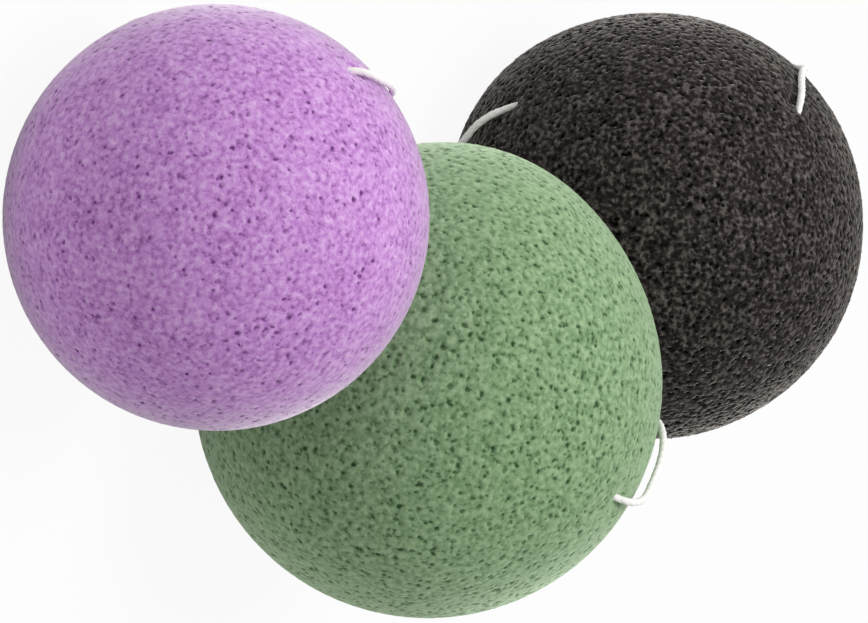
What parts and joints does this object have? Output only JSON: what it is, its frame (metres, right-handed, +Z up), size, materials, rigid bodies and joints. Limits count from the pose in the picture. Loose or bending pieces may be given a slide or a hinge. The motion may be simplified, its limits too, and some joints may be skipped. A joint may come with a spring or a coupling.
{
  "type": "konjac sponge set",
  "caption": "Set of round konjac face sponges: porous foam balls on small flat feet, each threaded with a cotton string whose ends are tied into a hanging loop.",
  "frame": {"origin": "on the floor, under the middle of the box round the foam balls", "axes": "+Z up, +Y along the row from the purple to the charcoal sponge, +X towards the green sponge's outer side"},
  "size_m": [0.1154, 0.2509, 0.0786],
  "materials": {
    "purple_foam": "matte, open-pored konjac foam, lavender",
    "green_foam": "matte, open-pored konjac foam, tea green",
    "charcoal_foam": "matte, open-pored konjac foam, charcoal",
    "cotton_string": "twisted undyed cotton"
  },
  "bodies": {
    "green_sponge": {"green_sponge": "green_foam"},
    "green_loop": {"green_threaded_run": "cotton_string", "green_long_strand": "cotton_string", "green_short_strand": "cotton_string", "green_knot": "cotton_string"},
    "purple_sponge": {"purple_sponge": "purple_foam"},
    "purple_loop": {"purple_threaded_run": "cotton_string", "purple_long_strand": "cotton_string", "purple_short_strand": "cotton_string", "purple_knot": "cotton_string"},
    "charcoal_sponge": {"charcoal_sponge": "charcoal_foam", "charcoal_threaded_run": "cotton_string", "charcoal_long_strand": "cotton_string", "charcoal_short_strand": "cotton_string", "charcoal_knot": "cotton_string"}
  },
  "joints": [
    {"name": "green_loop_swing", "type": "hinge", "parent": "green_sponge", "child": "green_loop", "pos_m": [0.02865, 0.00712, 0.07317], "axis": [0.3623, 0.3644, -0.8579], "range_deg": [0, 135]},
    {"name": "purple_lift", "type": "slide", "parent": "green_sponge", "child": "purple_sponge", "axis": [0, 0, 1], "range_m": [0, 0.12]},
    {"name": "purple_loop_swing", "type": "hinge", "parent": "purple_sponge", "child": "purple_loop", "pos_m": [-0.03091, -0.07447, 0.05054], "axis": [0.0108, 0.04, 0.9991], "range_deg": [0, 120]},
    {"name": "charcoal_lift", "type": "slide", "parent": "green_sponge", "child": "charcoal_sponge", "axis": [0, 0, 1], "range_m": [0, 0.12]}
  ]
}
